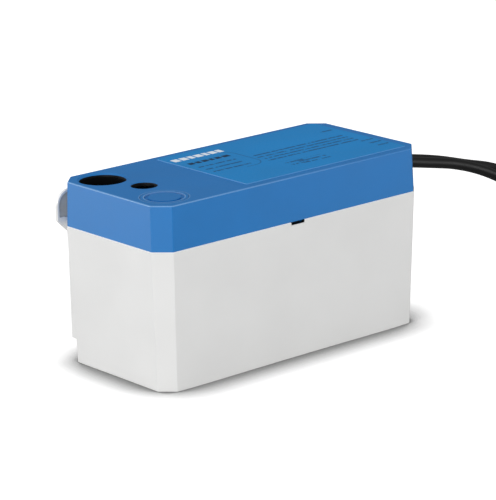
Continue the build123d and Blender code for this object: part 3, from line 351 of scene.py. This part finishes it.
def paint_lid_highlights_and_shade(made):
    """Painted highlights on the lid's top edges, strongest to the left, and on the rings of the blind
    inlet, and painted shade in black on the walls of the two holes."""
    tree, principled, ground, place, axes = base_of(made)
    far = add(tree, "VectorMath", {0: place}, operation="ABSOLUTE").outputs[0]
    reach = add(tree, "SeparateXYZ", {0: far}).outputs
    both = add(tree, "Math", {0: reach["X"], 1: reach["Y"]}, operation="ADD").outputs[0]
    rim = any_of(
        tree,
        between(tree, reach["X"], *LID_RIM_X),
        between(tree, reach["Y"], *LID_RIM_Y),
        between(tree, both, *LID_RIM_CORNER),
    )
    fade = {"From Min": HIGHLIGHT_FADE_X[0] * MM, "From Max": HIGHLIGHT_FADE_X[1] * MM, "To Min": HIGHLIGHT_FADE[0], "To Max": HIGHLIGHT_FADE[1]}
    highlight_strength = add(tree, "MapRange", {"Value": axes["X"], **fade}).outputs["Result"]
    edges = all_of(tree, rim, facing(tree, *HIGHLIGHT_TILT), highlight_strength)
    flat = add(tree, "VectorMath", {0: place, 1: (1.0, 1.0, 0.0)}, operation="MULTIPLY").outputs[0]

    def radius(centre):
        ends = {0: flat, 1: (centre[0] * MM, centre[1] * MM, 0.0)}
        return add(tree, "VectorMath", ends, operation="DISTANCE").outputs["Value"]

    blind = radius(BLIND_INLET)
    outer = all_of(tree, between(tree, blind, *OUTER_RING), 0.6)
    rings = any_of(tree, between(tree, blind, *INNER_RING), outer)
    rings = all_of(tree, rings, between(tree, axes["Z"], *RING_Z))
    marked = over(tree, ground, edges, 0.5, HIGHLIGHT_BLUE)
    marked = over(tree, marked, rings, 0.5, HIGHLIGHT_BLUE)
    hole_shade = 0.0
    for centre, wide, deep in (
        (OPEN_INLET, INLET_SHADE, INLET_SHADE_Z),
        (OUTLET, OUTLET_SHADE, OUTLET_SHADE_Z),
    ):
        hole = all_of(tree, between(tree, radius(centre), *wide), between(tree, axes["Z"], *deep))
        hole_shade = any_of(tree, hole_shade, hole)
    tree.links.new(over(tree, marked, hole_shade, 1.0, SHADE_BLACK), principled.inputs["Base Color"])


def paint_edge_highlight(made, low, high, strength, code):
    """A painted highlight: a paler edge on faces that tilt between low and high."""
    tree, principled, ground = base_of(made)[:3]
    rim = over(tree, ground, facing(tree, low, high), strength, code)
    tree.links.new(rim, principled.inputs["Base Color"])


NOTCH_BOX = {"X": (-5.1, 5.1), "Y": (-44.7, -41.8), "Z": (76.9, 78.9)}


def paint_notch_shade(made):
    """Painted shade: black on the walls of the small notch in the tank's rim."""
    tree, principled, ground, place, axes = base_of(made)
    inside = all_of(tree, *[between(tree, axes[axis], *ends) for axis, ends in NOTCH_BOX.items()])
    tree.links.new(over(tree, ground, inside, 1.0, SHADE_BLACK), principled.inputs["Base Color"])


# Printed on the film, in millimetres: plain blocks (left, right) in a row (lower, upper), and rows of
# small dashes (left, right, lower, upper, and from row to row).
PALE_BLOCKS = [
    (-27.5, -23.0),
    (-21.8, -17.2),
    (-16.0, -12.6),
    (-11.4, -6.6),
    (-5.4, -2.2),
    (-1.0, 3.4),
    (4.4, 8.0),
]
PALE_ROW = (25.6, 31.0)
DARK_BLOCKS = [(-25.5, -21.5), (-20.3, -17.0), (-15.8, -11.6), (-10.4, -7.6), (-6.4, -2.4), (-1.2, 3.8)]
DARK_ROW = (14.8, 18.6)
DARK_LINES = [
    (-26.0, 1.0, -9.0, 9.0, 6.5),
    (11.5, 80.0, -9.5, 9.0, 4.6),
    (14.0, 27.0, -27.0, -15.5, 5.2),
    (22.0, 42.0, -27.0, -18.0, 4.6),
    (76.0, 85.0, 18.0, 21.0, 9.5),
    (78.0, 87.0, -31.0, -10.0, 6.8),
]
FRAME_LINE = ((-11.0, 8.0), (20.0, 18.3), 9.0)  # centre, half size and corner radius
FRAME_HALF = 0.35  # half the frame line's thickness
FRAME_PART = (-6, 12, -12, 24)  # the part of the frame that is drawn
LINE_TALL = 1.9  # height of a row of small print
DASHES = (620.0, 210.0, 1.0)  # dashes to the metre along and across a row
DASH_LEVEL = 0.42  # a lower level leaves fewer gaps between dashes
FINE_INK = "042F58"
BOLD_INK = "04203C"
PALE_INK = "F4FAFF"


def print_label(made):
    """Rule the film: pale blocks, dark blocks, rows of short dashes like small print, and a thin frame."""
    tree, principled, ground, place, axes = base_of(made)

    def block(left, right, low, high):
        return all_of(tree, between(tree, axes["X"], left, right), between(tree, axes["Y"], low, high))

    grain = add(tree, "VectorMath", {0: place, 1: DASHES}, operation="MULTIPLY").outputs[0]
    noise = add(tree, "TexNoise", {"Vector": grain, "Scale": 1.0, "Detail": 1.0}).outputs["Fac"]
    words = add(tree, "Math", {0: noise, 1: DASH_LEVEL}, operation="GREATER_THAN").outputs[0]
    small = 0.0
    for left, right, low, high, pitch in DARK_LINES:
        rows = {0: axes["Y"], 1: pitch * MM}
        lines = add(tree, "Math", rows, operation="FLOORED_MODULO").outputs[0]
        row = all_of(tree, between(tree, lines, 0, LINE_TALL), words, block(left, right, low, high))
        small = any_of(tree, small, row)
    (mid_x, mid_y), (half_x, half_y), corner = FRAME_LINE
    middle = (mid_x * MM, mid_y * MM, 0.0)
    offset = add(tree, "VectorMath", {0: place, 1: middle}, operation="SUBTRACT").outputs[0]
    folded = add(tree, "VectorMath", {0: offset}, operation="ABSOLUTE").outputs[0]
    inner = ((half_x - corner) * MM, (half_y - corner) * MM, 1.0)
    outside = add(tree, "VectorMath", {0: folded, 1: inner}, operation="SUBTRACT").outputs[0]
    clipped = {0: outside, 1: (0.0, 0.0, 0.0)}
    clipped = add(tree, "VectorMath", clipped, operation="MAXIMUM").outputs[0]
    edge = add(tree, "VectorMath", {0: clipped}, operation="LENGTH").outputs["Value"]
    line = between(tree, edge, corner - FRAME_HALF, corner + FRAME_HALF)
    line = all_of(tree, line, block(*FRAME_PART), 0.8)
    inked = over(tree, ground, any_of(tree, small, line), 0.62, FINE_INK)
    for blocks, row, ink in ((DARK_BLOCKS, DARK_ROW, BOLD_INK), (PALE_BLOCKS, PALE_ROW, PALE_INK)):
        shapes = any_of(tree, *[block(left, right, *row) for left, right in blocks])
        inked = over(tree, inked, shapes, 0.9, ink)
    tree.links.new(inked, principled.inputs["Base Color"])


paint_lid_highlights_and_shade(BLUE)
# Painted highlight on the tank's up-tilted edges that face front or left, such as its rim under the lid.
paint_edge_highlight(WHITE, *HIGHLIGHT_TILT, 0.8, "FFFFFF")
paint_notch_shade(WHITE)
print_label(FILM)
# Painted highlight on the film's upright edges that face front or left.
paint_edge_highlight(FILM, -0.5, 0.5, 0.6, "8FC4EC")

BY_SLOT = {
    "tank_white": WHITE,
    "bush_rubber": BUSH,
    "lid_blue": BLUE,
    "blind_plug_blue": BLUE,
    "label_film": FILM,
    "black_plastic": BLACK,
    "black_rubber": RUBBER,
    "cord_jacket": JACKET,
    "grey_plastic": GREY,
    "zinc_steel": ZINC,
    "lamination_steel": SHEETS,
    "natural_plastic": NYLON,
    "winding_tape": TAPE,
    "bearing_bronze": BRONZE,
    "rotor_aluminium": ALUMINIUM,
    "shaft_steel": STEEL,
    "float_foam": FLOAT,
    "pin_brass": BRASS,
    "core_insulation": CORES,
    "valve_ball": NITRILE,
    "tie_nylon": BLACK,
}

BY_NODE = {"inlet_sockets": SOCKET}


def dress_nodes():
    """Give each CAD node its own material, or that of its record slot."""
    for entry in frame["record"]["subparts"]:
        mesh = nodes[entry["node"]].data
        mesh.materials.clear()
        mesh.materials.append(BY_NODE.get(entry["node"], BY_SLOT[entry["material_slot"]]))


dress_nodes()

# ---- the cords' pieces ----
mains_points = MAINS_ROUTE + coil_turns(COIL_FOOT, MAINS_R, -1) + MAINS_LEAD
alarm_points = ALARM_ROUTE + coil_turns(COIL_MID, ALARM_R, 1) + ALARM_LEAD
mains_cord, mains_path = cord("mains_cord_whole", mains_points, MAINS_R, JACKET)
alarm_cord, alarm_path = cord("alarm_cord_whole", alarm_points, ALARM_R, JACKET)
for piece, route in ((mains_cord, MAINS_ROUTE), (alarm_cord, ALARM_ROUTE)):
    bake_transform(piece)
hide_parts("mains_cord", "mains_coil", "mains_lead")
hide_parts("alarm_cord", "alarm_coil", "alarm_lead")


# ---- floor, world and lamps ----
CONTACT = 0.03  # how far from the object the floor darkens, in metres
CONTACT_STOPS = ((0.5, 0.2), (0.6, 0.68), (0.93, 1.0))  # open sky, and the floor's level
FLOOR_GLOW = 0.45
FLOOR_HALF = 6.0
FLOOR_DROP = 0.0002
LIT = 0.56  # strength of the surround for what it lights
SHINE = 0.2  # and for gloss
AIM = (0, 0, 0.05)
# Name, place and size in metres, power in watts, and whether the lamp shows in gloss alone.
LAMPS = [
    ("left_lamp", (-1.5, -0.62, 0.35), 0.8, 9.6, False),
    ("front_lamp", (1.0, -1.65, 0.9), 1.0, 6.1, False),
    ("rear_overhead_lamp", (-0.2, 0.5, 1.8), 0.6, 5.8, False),
    ("left_sheen", (-0.9, 1.0, 0.15), 0.6, 13.0, True),
    ("corner_sheen", (-1.0, -0.85, 0.12), 0.4, 1.0, True),
    ("right_sheen", (0.45, -0.4, 0.08), 0.25, 0.4, True),
]


def make_floor():
    """A pale matt floor, darker grey to gloss rays. A camera glow whitens it, less near the object: a
    painted contact shadow.
    """
    made, tree = new_material("matt_white_floor")
    rays = add(tree, "LightPath").outputs
    open_sky = add(tree, "AmbientOcclusion", {"Distance": CONTACT}, samples=16).outputs["AO"]
    shade = add(tree, "ValToRGB", {"Fac": open_sky})
    stops = shade.color_ramp.elements
    for stop, (place, level) in zip((stops[0], stops.new(0.6), stops[1]), CONTACT_STOPS):
        stop.position = place
        stop.color = (level, level, level, 1.0)
    plain = {0: rays["Is Glossy Ray"], 6: linear("F4F4F4"), 7: linear("8C8C8C")}
    matt = add(tree, "BsdfDiffuse", {"Color": add(tree, "Mix", plain, data_type="RGBA").outputs[2]})
    shaded = add(tree, "BsdfDiffuse", {"Color": shade.outputs["Color"]})
    glow = add(tree, "Emission", {"Color": shade.outputs["Color"], "Strength": FLOOR_GLOW})
    both = add(tree, "AddShader", {0: shaded.outputs[0], 1: glow.outputs[0]})
    mix = add(tree, "MixShader", {0: rays["Is Camera Ray"], 1: matt.outputs[0], 2: both.outputs[0]})
    add(tree, "OutputMaterial", {"Surface": mix.outputs[0]})
    plane = bmesh.new()
    bmesh.ops.create_grid(plane, x_segments=1, y_segments=1, size=FLOOR_HALF)
    mesh = bpy.data.meshes.new("floor")
    plane.to_mesh(mesh)
    plane.free()
    mesh.materials.append(made)
    floor = bpy.data.objects.new("floor", mesh)
    scene.collection.objects.link(floor)
    floor.location.z = -FLOOR_DROP


def make_surround(even, shine):
    """White to the camera, and dimmer to what it lights (even) and to gloss (shine)."""
    world = scene.world or bpy.data.worlds.new("surround")
    scene.world = world
    world.use_nodes = True
    tree = world.node_tree
    tree.nodes.clear()
    rays = add(tree, "LightPath").outputs
    gloss = add(tree, "Mix", {0: rays["Is Glossy Ray"], 2: even, 3: shine}, data_type="FLOAT")
    seen = add(tree, "Mix", {0: rays["Is Camera Ray"], 2: gloss.outputs[0], 3: 1.0}, data_type="FLOAT")
    back = add(tree, "Background", {"Color": (1, 1, 1, 1), "Strength": seen.outputs[0]})
    add(tree, "OutputWorld", {"Surface": back.outputs[0]})


def lamp(name, place, size, power, sheen):
    """A square soft lamp that faces the object. A sheen lamp shows in gloss alone."""
    data = bpy.data.lights.new(name, "AREA")
    data.size = size
    data.energy = power
    made = bpy.data.objects.new(name, data)
    made.location = place
    made.rotation_mode = "QUATERNION"
    made.rotation_quaternion = (Vector(AIM) - Vector(place)).to_track_quat("-Z", "Y")
    made.visible_camera = False
    made.visible_diffuse = not sheen
    scene.collection.objects.link(made)


make_floor()
make_surround(LIT, SHINE)
for settings in LAMPS:
    lamp(*settings)
